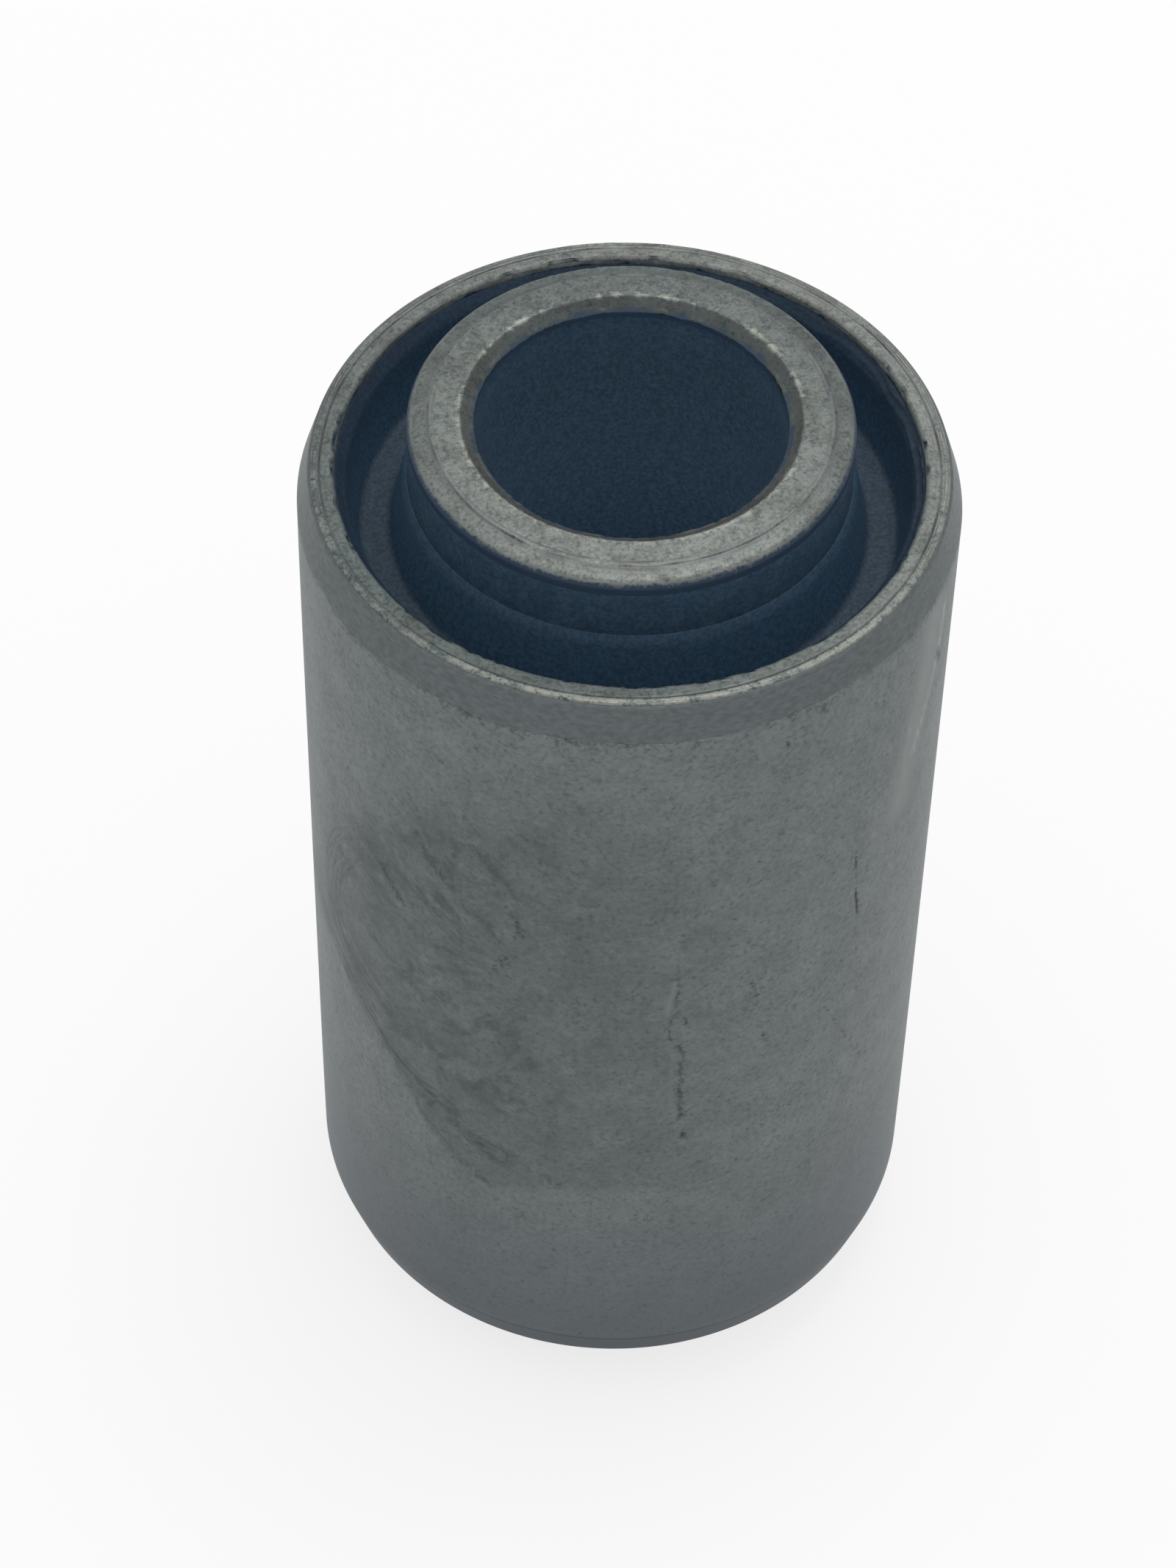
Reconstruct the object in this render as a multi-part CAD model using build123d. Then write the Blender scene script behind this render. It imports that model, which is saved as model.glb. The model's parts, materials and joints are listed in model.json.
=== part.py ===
from build123d import *
import math
import os

# Rubber metal bush: two steel sleeves with a moulded rubber element bonded between them.
# Millimetres. The bush stands on the end of its inner sleeve, with its axis along Z and the
# origin at the centre of that lower end. Both ends are alike.

# Driving dimensions across the bush, from the bore outwards
bore_diameter = 28.0         # takes the pin or bolt
inner_wall = 6.0
rubber_thickness = 6.5
outer_wall = 3.5

# Driving dimensions along the bush
outer_length = 100.0
overhang = 6.0               # how far the inner sleeve stands out of the outer one at each end

# Ends of the outer sleeve
lead_in_length = 4.0         # taper that starts the sleeve into the eye
lead_in_depth = 1.2          # what the taper takes off the radius
rim_edge_break = 0.25        # both edges of the faced rim

# Ends of the inner sleeve
bore_chamfer_width = 1.25
bore_chamfer_depth = 0.9
bevel_width = 1.45           # shallow bevel round the faced end
bevel_depth = 0.45
corner_width = 0.45          # steeper corner outside the bevel
corner_depth = 0.6

# Ends of the rubber, where a drafted ring groove leaves a thin skin on each sleeve
skin_setback = 0.8           # from the outer sleeve's rim down to the edges of the skins
skin_edge = 0.1              # thickness of a skin at its very edge
skin_taper = 0.8             # height over which the edge thickens to the full skin
inner_skin = 0.45            # rubber on the inner sleeve
outer_skin = 0.9             # rubber on the outer sleeve
groove_depth = 6.9           # from the edges of the skins down to the groove's floor
groove_draft = 11.0          # degrees, each wall of the groove below the taper
root_break = 0.4             # both edges of the groove's floor
bond_clearance = 0.0         # the rubber is bonded to the steel, face to face

# Radii and lengths that follow from them
bore_radius = bore_diameter / 2
inner_radius = bore_radius + inner_wall
outer_bore_radius = inner_radius + rubber_thickness
press_radius = outer_bore_radius + outer_wall
inner_length = outer_length + 2 * overhang
middle = inner_length / 2


def turned(upper_half):
    """A ring turned about Z from the upper half of its section, mirrored to give the lower end."""
    section = upper_half + mirror(upper_half, about=Plane.XZ)
    return Pos(0, 0, middle) * revolve(Plane.XZ * section, Axis.Z)


def eased(section, corners, size):
    """The section with a small chamfer on each of those corners."""
    points = [Vector(*corner) for corner in corners]
    picked = [v for v in section.vertices() if any((v.center() - p).length < 1e-4 for p in points)]
    return chamfer(picked, size)


def outer_sleeve():
    """A tube with a faced rim and a tapered lead-in at each end."""
    top = outer_length / 2
    rim_outside = (press_radius - lead_in_depth, top)
    rim_inside = (outer_bore_radius, top)
    section = make_face(Polyline(
        (outer_bore_radius, 0),
        (press_radius, 0),
        (press_radius, top - lead_in_length),
        rim_outside,
        rim_inside,
        close=True,
    ))
    return turned(eased(section, [rim_outside, rim_inside], rim_edge_break))


def inner_sleeve():
    """A thicker tube with a chamfered bore, a shallow bevel and a broken corner at each end."""
    top = inner_length / 2
    bevel_foot = top - bevel_depth
    return turned(make_face(Polyline(
        (bore_radius, 0),
        (inner_radius, 0),
        (inner_radius, bevel_foot - corner_depth),
        (inner_radius - corner_width, bevel_foot),
        (inner_radius - corner_width - bevel_width, top),
        (bore_radius + bore_chamfer_width, top),
        (bore_radius, top - bore_chamfer_depth),
        close=True,
    )))


def groove_wall(sleeve_radius, inward, skin):
    """Corners down one wall of the groove, from the skin's edge on its sleeve to the floor.
    inward is 1 where the groove lies outside the sleeve's radius and -1 where it lies inside."""
    edge = outer_length / 2 - skin_setback
    shoulder = edge - skin_taper
    floor = edge - groove_depth
    draft = (shoulder - floor) * math.tan(math.radians(groove_draft))
    return [
        (sleeve_radius, edge),
        (sleeve_radius + inward * skin_edge, edge),
        (sleeve_radius + inward * skin, shoulder),
        (sleeve_radius + inward * (skin + draft), floor),
    ]


def rubber_element():
    """The ring of rubber that fills the space between the sleeves, grooved at each end."""
    inside = inner_radius + bond_clearance
    outside = outer_bore_radius - bond_clearance
    inner_side = groove_wall(inside, 1, inner_skin)
    outer_side = groove_wall(outside, -1, outer_skin)
    section = make_face(Polyline((inside, 0), (outside, 0), *outer_side, *reversed(inner_side), close=True))
    return turned(eased(section, [inner_side[-1], outer_side[-1]], root_break))


os.makedirs("parts", exist_ok=True)
for make in (outer_sleeve, rubber_element, inner_sleeve):
    piece = make()
    piece.label = make.__name__
    export_step(piece, f"parts/{make.__name__}.step")
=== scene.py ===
import json
import bpy
import numpy as np
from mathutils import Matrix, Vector


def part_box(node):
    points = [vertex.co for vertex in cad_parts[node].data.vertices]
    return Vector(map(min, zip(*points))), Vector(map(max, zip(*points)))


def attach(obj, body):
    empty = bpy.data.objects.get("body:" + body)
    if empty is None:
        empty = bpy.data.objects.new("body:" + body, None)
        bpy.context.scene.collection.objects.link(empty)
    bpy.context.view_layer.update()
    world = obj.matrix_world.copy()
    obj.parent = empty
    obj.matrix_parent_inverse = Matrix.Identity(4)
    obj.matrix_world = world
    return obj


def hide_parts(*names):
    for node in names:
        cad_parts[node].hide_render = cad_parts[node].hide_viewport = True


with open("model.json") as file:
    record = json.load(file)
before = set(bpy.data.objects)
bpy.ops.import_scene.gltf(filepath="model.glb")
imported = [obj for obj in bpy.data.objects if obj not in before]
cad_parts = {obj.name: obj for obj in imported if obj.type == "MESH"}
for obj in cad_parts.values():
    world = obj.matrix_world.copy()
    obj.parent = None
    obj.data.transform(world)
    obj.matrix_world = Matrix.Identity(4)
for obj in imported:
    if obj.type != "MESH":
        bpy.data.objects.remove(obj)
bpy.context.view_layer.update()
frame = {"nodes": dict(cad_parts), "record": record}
mm = 0.001
print("frame loaded:", ", ".join(sorted(frame["nodes"])))


# Outer radius and the heights of both ends of a node, in millimetres, read from its box.
def ringSize(node):
    low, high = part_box(node)
    return min(high.x, -low.x) / mm, low.z / mm, high.z / mm


pressRadius, sleeveFoot, sleeveTop = ringSize("outer_sleeve")
bondRadius, skinFoot, skinTop = ringSize("rubber_element")
pinWallRadius, standFoot, standTop = ringSize("inner_sleeve")
mounts = {mount["name"]: mount for mount in frame["record"]["mounts"]}
boreRadius = mounts["pin_bore"]["dims"]["r_mm"]
middle = (sleeveFoot + sleeveTop) / 2


# An sRGB hex colour as the linear numbers that Blender shades with.
def linear(hexColour):
    share = np.array([int(hexColour[i:i + 2], 16) / 255 for i in (1, 3, 5)])
    bright = ((share + 0.055) / 1.055) ** 2.4
    return (*np.where(share <= 0.04045, share / 12.92, bright), 1.0)


# One node with its own fields set, and its inputs given as values or as sockets to link from.
# It gives back one of its outputs, picked by number or name.
def addNode(tree, kind, inputs=None, output=0, **fields):
    node = tree.nodes.new("ShaderNode" + kind)
    for field, value in fields.items():
        setattr(node, field, value)
    for name, value in (inputs or {}).items():
        if isinstance(value, bpy.types.NodeSocket):
            tree.links.new(value, node.inputs[name])
        else:
            node.inputs[name].default_value = value
    return node.outputs[output] if node.outputs else None


# Settings of a Mix node that mixes colours: its inputs are then 0, 6 and 7, and its output 2.
colourMix = {"output": 2, "data_type": "RGBA"}


# A material with its Principled shader, a place in millimetres worked out from Object coordinates, the
# noises of its look in their order, and the marks that it reads from the mesh.
def startMaterial(name, metallic, look, markNames):
    material = bpy.data.materials.new(name)
    material.use_nodes = True
    tree = material.node_tree
    tree.nodes.clear()
    surface = addNode(tree, "BsdfPrincipled", {"Metallic": metallic, "Roughness": look["roughness"]})
    addNode(tree, "OutputMaterial", {"Surface": surface})
    coordinates = addNode(tree, "TexCoord", output="Object")
    place = addNode(tree, "VectorMath", {0: coordinates, "Scale": 1 / mm}, operation="SCALE")
    noises = []
    for size, detail, roughness, distortion in look["noises"].values():
        noises.append(addNode(tree, "TexNoise", {"Vector": place, "Scale": 1 / size, "Detail": detail,
                                                 "Roughness": roughness, "Distortion": distortion}))
    marks = {mark: addNode(tree, "Attribute", output="Fac", attribute_name=mark) for mark in markNames}
    return material, tree, surface.node, place, noises, marks


# A colour made lighter and darker by a fine grain.
def speckled(tree, look, colour, grain):
    speckle = addNode(tree, "MapRange", {"Value": grain, "From Min": 0.4, "From Max": 0.6,
                                         "To Min": 1 - look["speckle"], "To Max": 1 + look["speckle"]})
    return addNode(tree, "VectorMath", {0: colour, "Scale": speckle}, operation="SCALE")


# The shader's colour, its gloss and the height of its grain, linked once they are worked out.
def finishMaterial(tree, shader, look, colour, grain):
    relief = addNode(tree, "Bump", {"Height": grain, "Strength": look["bump"],
                                    "Distance": look["relief"] * mm})
    tree.links.new(colour, shader.inputs["Base Color"])
    tree.links.new(relief, shader.inputs["Normal"])
    shader.inputs["Specular IOR Level"].default_value = look["specular"]


# Uneven height round a ring: cosines of every whole number of waves in a span, each with a seeded
# phase and a strength that falls with the square root of its number, added up to about -1 to 1.
def ringWaves(turn, fewest, most, seed):
    random = np.random.default_rng(seed)
    number = np.arange(fewest, most + 1)
    phase = random.uniform(0, 2 * np.pi, number.size)
    strength = random.uniform(0.4, 1.0, number.size) / np.sqrt(number)
    waves = strength * np.cos(np.radians(turn)[..., None] * number + phase)
    return waves.sum(-1) / (1.6 * np.sqrt((strength ** 2).sum()))


# A smooth step from 0 to 1 as value goes from start to end: three t squared less two t cubed.
def smoothStep(start, end, value):
    t = np.clip((value - start) / (end - start), 0, 1)
    return t * t * (3 - 2 * t)


# A smooth bump of height 1 at the centre that has died away at two widths from it.
def bell(value, centre, width):
    return np.exp(-((value - centre) / width) ** 2)


# Turns are in degrees. The difference of two of them, brought to -180 to 180.
def turnFrom(turn, centre):
    return (turn - centre + 180) % 360 - 180


# Points along a section drawn from corner to corner. Each corner is (radius, drop, rounding, spacing).
# The rounding is a parabola that touches both sides, and the spacing holds up to the next corner.
def drawSection(corners):
    ends = np.array([corner[:2] for corner in corners], float)
    roundings = [corner[2] for corner in corners]
    spots = [ends[:1]]
    for index in range(1, len(ends)):
        here = ends[index]
        back = ends[index - 1] - here
        side = np.hypot(*back)
        ahead = ends[min(index + 1, len(ends) - 1)] - here
        cut = min(roundings[index], 0.45 * side, 0.45 * max(np.hypot(*ahead), 1e-9))
        cutBefore = np.hypot(*(spots[-1][-1] - ends[index - 1]))
        run = side - cutBefore - cut
        steps = max(int(np.ceil(run / corners[index - 1][3])), 1)
        share = (cutBefore + run * np.arange(1, steps + 1) / steps)[:, None] / side
        spots.append(ends[index - 1] + share * (here - ends[index - 1]))
        if cut > 1e-6:
            t = np.linspace(0, 1, 4 if cut < 0.11 else 6)[1:, None]
            enter = here + back / side * cut
            leave = here + ahead / np.hypot(*ahead) * cut
            spots.append((1 - t) ** 2 * enter + 2 * t * (1 - t) * here + t ** 2 * leave)
    return np.concatenate(spots)


# Turns round a ring at an even spacing, closer together inside the given spans.
def ringTurns(count, spans=(), finer=5):
    even = np.arange(count) * 360 / count - 180
    extra = [np.linspace(a, b, int((b - a) * count / 360 * finer), endpoint=False) for a, b in spans]
    return np.unique(np.round(np.concatenate([even, *extra]), 4))


# A section that is alike above and below: the upper half, a row at mid height, and the half turned over.
# Gives the radii, the drops from the nearer end, and 1, 0 or -1 for upper, middle and lower rows.
def bothEnds(spots, midRadius, halfLength):
    radius = np.concatenate([spots[:, 0], [midRadius], spots[1:, 0][::-1]])
    drop = np.concatenate([spots[:, 1], [halfLength], spots[1:, 1][::-1]])
    side = np.concatenate([np.ones(len(spots)), [0], -np.ones(len(spots) - 1)])
    return radius, drop, side


# Rows of a section repeated for every turn of a ring, and the turns repeated for every row.
def spreadRows(turns, *rows):
    return [np.tile(row, (turns.size, 1)) for row in rows] + [np.tile(turns[:, None], (1, rows[0].size))]


# A ring as a mesh. The point of the grid at turn a, with radius r and height h, lies at
# x = r sin a, y = -r cos a, z = h, so that turn 0 is the front, at -Y, and +90 the right, at +X.
# Both ways round the grid close on themselves, so the surface has no seam, pole or open edge.
# Sections run up the inside and down the outside, and with that the faces point outward.
# Its unwrap runs from 0 to 1 round the ring, and along the section by length.
def makeRing(name, turns, radius, height, finishes, finishOfRow, marks):
    columns, rows = radius.shape
    angle = np.radians(turns)[:, None]
    points = np.stack([radius * np.sin(angle), -radius * np.cos(angle), height], -1) * mm
    column, row = np.meshgrid(np.arange(columns), np.arange(rows), indexing="ij")
    columnNext = (column + 1) % columns
    rowNext = (row + 1) % rows
    faces = np.stack([
        column * rows + row,
        column * rows + rowNext,
        columnNext * rows + rowNext,
        columnNext * rows + row,
    ], -1).reshape(-1, 4)
    mesh = bpy.data.meshes.new(name)
    mesh.vertices.add(columns * rows)
    mesh.vertices.foreach_set("co", points.astype(np.float32).ravel())
    mesh.loops.add(faces.size)
    mesh.loops.foreach_set("vertex_index", faces.astype(np.int32).ravel())
    mesh.polygons.add(len(faces))
    mesh.polygons.foreach_set("loop_start", np.arange(0, faces.size, 4, dtype=np.int32))
    mesh.polygons.foreach_set("material_index", np.tile(finishOfRow, columns).astype(np.int32))
    mesh.polygons.foreach_set("use_smooth", np.ones(len(faces), bool))
    mesh.update(calc_edges=True)
    step = np.hypot(np.diff(radius[0], append=radius[0, 0]), np.diff(height[0], append=height[0, 0]))
    length = np.concatenate([[0], np.cumsum(step)]) / step.sum()
    around = np.concatenate([turns, turns[:1] + 360]) / 360 + 0.5
    u = np.stack([around[column], around[column], around[column + 1], around[column + 1]], -1)
    v = np.stack([length[row], length[row + 1], length[row + 1], length[row]], -1)
    mesh.uv_layers.new(name="OFBake")
    mesh.uv_layers[0].uv.foreach_set("vector", np.stack([u, v], -1).astype(np.float32).ravel())
    for mark, values in marks.items():
        layer = mesh.attributes.new(mark, "FLOAT", "POINT")
        layer.data.foreach_set("value", np.broadcast_to(values, radius.shape).astype(np.float32).ravel())
    for finish in finishes:
        mesh.materials.append(finish)
    piece = bpy.data.objects.new(name, mesh)
    bpy.context.scene.collection.objects.link(piece)
    print(f"{name}: {columns} x {rows} points, {2 * len(faces)} triangles")
    return piece


# Faced mild steel, bare metal left by a flat turning cut, with an oil tint that serves as painted shade,
# darker in places round the ring. It gives the eye a bright grey full of specks where the tool tore the
# surface, dark broken tool lines with a painted shadow line under the burr, a painted highlight on the burr,
# and ragged edges where the bonding film starts.
facedSteelLook = {
    "bright": "#a2a49d",
    "dark": "#62696a",
    "smudged": "#dedddb",   # the tint of thin patches of grease
    "oiled": "#bac3c6",     # the tint of the oil over the steel, used as painted shade
    "tornTint": "#c6caca",  # and of the torn cut at the mouth of the bore
    # of the tool lines and of the painted shadow under the burr
    "line": "#474349",
    # painted highlight on the burrs and along the bevel's edge
    "burr": "#a5a79d",
    "film": "#1e2f41",
    "filmThin": "#7f9db8",  # painted light, deep in the bore
    # Each noise is (size in mm, detail, roughness, distortion).
    "noises": {
        "speck": (0.34, 3.0, 0.7, 0.0),     # torn grain
        "patch": (0.9, 4.0, 0.7, 0.0),      # where the burr and the tool lines break up
        "smudge": (4.0, 4.0, 0.65, 0.6),
    },
    "burrEdge": (1.9, 3.0),     # levels of mark plus grain between which the painted highlight on the burr comes in
    "lineEdge": (1.9, 2.8),
    "filmEdge": (1.85, 2.5),
    "relief": 0.04,         # mm, height of the grain
    "bump": 0.6,            # how strongly that height tilts the light
    "specular": 0.25,
    "roughness": 0.5,
}


def facedSteel():
    look = facedSteelLook
    markNames = ("shine", "toolLine", "film", "thinFilm", "oiled", "tornCut", "dull")
    material, tree, shader, _, noises, marks = startMaterial("facedMildSteel", 1.0, look, markNames)
    speck, patch, smudge = noises
    torn = addNode(tree, "Mix", {0: 0.4, 2: speck, 3: patch})
    tornShare = addNode(tree, "MapRange", {"Value": torn, "From Min": 0.36, "From Max": 0.64})
    colour = addNode(tree, "Mix", {0: tornShare, 6: linear(look["dark"]), 7: linear(look["bright"])},
                     **colourMix)
    smudgeShare = addNode(tree, "MapRange", {"Value": smudge, "From Min": 0.45, "From Max": 0.7})
    colour = addNode(tree, "Mix", {0: smudgeShare, 6: colour, 7: linear(look["smudged"])},
                     **colourMix, blend_type="MULTIPLY")
    # The oil tint, which is painted shade, and the tint of the torn cut darken the colour.
    for mark, tint in (("oiled", "oiled"), ("tornCut", "tornTint")):
        colour = addNode(tree, "Mix", {0: marks[mark], 6: colour, 7: linear(look[tint])},
                         **colourMix, blend_type="MULTIPLY")
    # The film is painted lighter deep in the bore.
    filmColour = addNode(tree, "Mix", {0: marks["thinFilm"], 6: linear(look["film"]),
                                       7: linear(look["filmThin"])}, **colourMix)
    # Each mark is an attribute plus the grain, cut off between two levels, so that its edge is ragged.
    broken = addNode(tree, "Math", {0: patch, 1: speck}, operation="ADD")
    for mark, tone, edge in (("shine", linear(look["burr"]), look["burrEdge"]),
                             ("toolLine", linear(look["line"]), look["lineEdge"]),
                             ("film", filmColour, look["filmEdge"])):
        rough = addNode(tree, "Math", {0: broken, 1: 1.6, 2: marks[mark]}, operation="MULTIPLY_ADD")
        share = addNode(tree, "MapRange", {"Value": rough, "From Min": edge[0], "From Max": edge[1]})
        colour = addNode(tree, "Mix", {0: share, 6: colour, 7: tone}, **colourMix)
    # The film, which is the last of the marks, and the dull scale on the inside wall hide the metal.
    covered = addNode(tree, "Math", {0: share, 1: marks["dull"]}, operation="MAXIMUM")
    metal = addNode(tree, "Math", {0: 1.0, 1: covered}, operation="SUBTRACT")
    tree.links.new(metal, shader.inputs["Metallic"])
    finishMaterial(tree, shader, look, colour, torn)
    return material


# Drawn mild steel tube under a thin grey phosphate and oil film. It gives the eye a flat grey with a
# sandy grain and faint clouds, and darker smears where the oil was wiped by hand.
drawnTubeLook = {
    "light": "#7b8181",
    "dark": "#636969",
    "smeared": "#505758",
    "pushed": "#3f4649",
    "lower": "#5d6368",     # painted shade, darker and bluer towards the foot
    "scuffed": "#a2a4a1",
    # of the dirt in the scratches and of the painted shadow line at the taper's foot
    "dirt": "#2e3336",
    "noises": {
        "grain": (0.5, 2.0, 0.6, 0.6),      # phosphate crystals, drawn coarser than they are to show
        "cloud": (4.0, 5.0, 0.65, 0.0),
        "mottle": (2.6, 6.0, 0.72, 0.8),    # patches in the smear
    },
    "strokeCount": 6.0,     # wiped strokes in each sixth of a turn round the smear's centre
    "strokeLength": 4.0,    # mm
    "streakPitch": 0.6,     # mm across the streaks of pushed oil
    "streakLength": 7.0,    # mm along them
    "lowerHeights": (40.0, 12.0),    # mm above the floor, where the painted shade at the foot starts and is strongest
    "relief": 0.03,         # mm, height of the grain
    "bump": 0.5,
    "specular": 0.5,
    "roughness": 0.52,
}


def drawnTube():
    look = drawnTubeLook
    markNames = ("smear", "strokes", "strokeX", "strokeY", "ridge", "acrossEdge", "alongEdge", "scuff",
                 "dirt")
    material, tree, shader, place, noises, marks = startMaterial("drawnSteelPhosphated", 1.0, look, markNames)
    grain, cloud, mottle = noises
    both = addNode(tree, "Mix", {0: 0.55, 2: cloud, 3: grain})
    darker = addNode(tree, "MapRange", {"Value": both, "From Min": 0.34, "From Max": 0.66})
    colour = addNode(tree, "Mix", {0: darker, 6: linear(look["light"]), 7: linear(look["dark"])}, **colourMix)
    # Painted shade: the wall turns darker and bluer towards its foot.
    height = addNode(tree, "SeparateXYZ", {0: place}, output="Z")
    start, whole = look["lowerHeights"]
    low = addNode(tree, "MapRange", {"Value": height, "From Min": start, "From Max": whole, "To Max": 0.8})
    colour = addNode(tree, "Mix", {0: low, 6: colour, 7: linear(look["lower"])}, **colourMix)
    # Strokes that run outward from the smear's centre: noise over the direction and the distance.
    fromCentre = addNode(tree, "CombineXYZ", {0: marks["strokeX"], 1: marks["strokeY"]})
    heading = addNode(tree, "VectorMath", {0: fromCentre}, operation="NORMALIZE")
    spread = addNode(tree, "VectorMath", {0: heading, "Scale": look["strokeCount"]}, operation="SCALE")
    distance = addNode(tree, "VectorMath", {0: fromCentre}, output="Value", operation="LENGTH")
    outward = addNode(tree, "Math", {0: distance, 1: 1 / look["strokeLength"]}, operation="MULTIPLY")
    outwardPlace = addNode(tree, "CombineXYZ", {2: outward})
    strokePlace = addNode(tree, "VectorMath", {0: spread, 1: outwardPlace}, operation="ADD")
    stroke = addNode(tree, "TexNoise", {"Vector": strokePlace, "Scale": 1.0, "Detail": 4.0,
                                        "Roughness": 0.7, "Distortion": 0.5})
    mottled = addNode(tree, "MapRange", {"Value": mottle, "From Min": 0.32, "From Max": 0.68,
                                         "To Min": 0.16, "To Max": 0.58})
    wiped = addNode(tree, "Math", {0: mottled, 1: marks["smear"]}, operation="MULTIPLY")
    strokeShare = addNode(tree, "MapRange", {"Value": stroke, "From Min": 0.46, "From Max": 0.66,
                                             "To Max": 0.55})
    wiped = addNode(tree, "Math", {0: strokeShare, 1: marks["strokes"], 2: wiped}, operation="MULTIPLY_ADD")
    colour = addNode(tree, "Mix", {0: wiped, 6: colour, 7: linear(look["smeared"])}, **colourMix)
    # Streaks of oil pushed up along the smear's edge: noise stretched along the edge.
    along = addNode(tree, "Math", {0: marks["alongEdge"], 1: 1 / look["streakLength"]}, operation="MULTIPLY")
    across = addNode(tree, "Math", {0: marks["acrossEdge"], 1: 1 / look["streakPitch"]}, operation="MULTIPLY")
    streakPlace = addNode(tree, "CombineXYZ", {0: along, 1: across})
    streak = addNode(tree, "TexNoise", {"Vector": streakPlace, "Scale": 1.0, "Detail": 4.0,
                                        "Roughness": 0.7, "Distortion": 1.1})
    streakDark = addNode(tree, "MapRange", {"Value": streak, "From Min": 0.42, "From Max": 0.62,
                                            "To Min": 0.15})
    streakPatch = addNode(tree, "MapRange", {"Value": mottle, "From Min": 0.35, "From Max": 0.6,
                                             "To Min": 0.5})
    streaked = addNode(tree, "Math", {0: streakDark, 1: streakPatch}, operation="MULTIPLY")
    streaked = addNode(tree, "Math", {0: streaked, 1: marks["ridge"]}, operation="MULTIPLY")
    colour = addNode(tree, "Mix", {0: streaked, 6: colour, 7: linear(look["pushed"])}, **colourMix)
    # The film is rubbed through in the scuffs, and wiped thin between the streaks.
    thinned = addNode(tree, "MapRange", {"Value": streak, "From Min": 0.4, "From Max": 0.28, "To Max": 0.3})
    thinned = addNode(tree, "Math", {0: thinned, 1: marks["ridge"]}, operation="MULTIPLY")
    rubbed = addNode(tree, "MapRange", {"Value": both, "From Min": 0.35, "From Max": 0.6})
    rubbed = addNode(tree, "Math", {0: rubbed, 1: marks["scuff"]}, operation="MULTIPLY")
    pale = addNode(tree, "Math", {0: rubbed, 1: thinned}, operation="MAXIMUM")
    colour = addNode(tree, "Mix", {0: pale, 6: colour, 7: linear(look["scuffed"])}, **colourMix)
    roughDirt = addNode(tree, "Math", {0: grain, 1: 1.6, 2: marks["dirt"]}, operation="MULTIPLY_ADD")
    dirtShare = addNode(tree, "MapRange", {"Value": roughDirt, "From Min": 0.95, "From Max": 1.9})
    colour = addNode(tree, "Mix", {0: dirtShare, 6: colour, 7: linear(look["dirt"])}, **colourMix)
    finishMaterial(tree, shader, look, colour, grain)
    return material


# Turned mild steel under the same film. It gives the eye a smoother, darker band than the drawn wall.
turnedTaperLook = {
    "light": "#686e6f",
    "dark": "#5c6263",
    "soiled": "#3d464d",    # painted shade on the foot's taper, which faces the floor where the bush stands
    # of the dirt in the scratches and of the painted shadow line at the taper's foot
    "dirt": "#44494b",
    "grain": 0.45,          # mm, turned grain
    "noises": {"speck": (0.45, 2.0, 0.5, 0.0)},    # of the dirt and of the painted shadow line
    "grainShape": (0.6, 0.6, 1.2),    # drawn out round the ring by the turning tool
    "relief": 0.02,         # mm, height of the grain
    "bump": 0.3,
    "specular": 0.5,
    "roughness": 0.48,
}


def turnedTaper():
    look = turnedTaperLook
    material, tree, shader, place, noises, marks = startMaterial("turnedSteelPhosphated", 1.0, look,
                                                                 ("soil", "dirt"))
    flattened = addNode(tree, "VectorMath", {0: place, 1: look["grainShape"]}, operation="MULTIPLY")
    grain = addNode(tree, "TexNoise", {"Vector": flattened, "Scale": 1 / look["grain"], "Detail": 3.0})
    share = addNode(tree, "MapRange", {"Value": grain, "From Min": 0.35, "From Max": 0.65})
    colour = addNode(tree, "Mix", {0: share, 6: linear(look["light"]), 7: linear(look["dark"])}, **colourMix)
    # Painted shade darkens the taper at the foot.
    colour = addNode(tree, "Mix", {0: marks["soil"], 6: colour, 7: linear(look["soiled"])}, **colourMix)
    roughDirt = addNode(tree, "Math", {0: noises[0], 1: 1.2, 2: marks["dirt"]}, operation="MULTIPLY_ADD")
    dirtShare = addNode(tree, "MapRange", {"Value": roughDirt, "From Min": 0.85, "From Max": 1.6})
    colour = addNode(tree, "Mix", {0: dirtShare, 6: colour, 7: linear(look["dirt"])}, **colourMix)
    finishMaterial(tree, shader, look, colour, grain)
    return material


# Bonding agent, a thin blue-black paint sprayed on the steel before moulding. It gives the eye a dull,
# finely speckled, nearly black film, painted lighter deep in the bore, where little light reaches.
bondingFilmLook = {
    "thick": "#25394b",
    "patchy": "#2f4454",
    # painted light, deep in the bore
    "thin": "#7a98b2",
    "noises": {
        "patch": (2.0, 4.0, 0.65, 0.0),     # where the coat is thinner
        "grain": (0.4, 3.0, 0.7, 0.0),
    },
    "relief": 0.05,         # mm, height of the grain
    "bump": 0.5,
    "specular": 0.25,
    "speckle": 0.22,        # how much lighter or darker the specks are
    "roughness": 0.6,
}


def bondingFilm():
    look = bondingFilmLook
    material, tree, shader, _, noises, marks = startMaterial("bondingAgentFilm", 0.0, look, ("thinFilm",))
    patch, grain = noises
    share = addNode(tree, "MapRange", {"Value": patch, "From Min": 0.4, "From Max": 0.75})
    colour = addNode(tree, "Mix", {0: share, 6: linear(look["thick"]), 7: linear(look["patchy"])},
                     **colourMix)
    # Painted light: lighter deep in the bore.
    colour = addNode(tree, "Mix", {0: marks["thinFilm"], 6: colour, 7: linear(look["thin"])}, **colourMix)
    colour = speckled(tree, look, colour, grain)
    finishMaterial(tree, shader, look, colour, grain)
    return material


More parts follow.
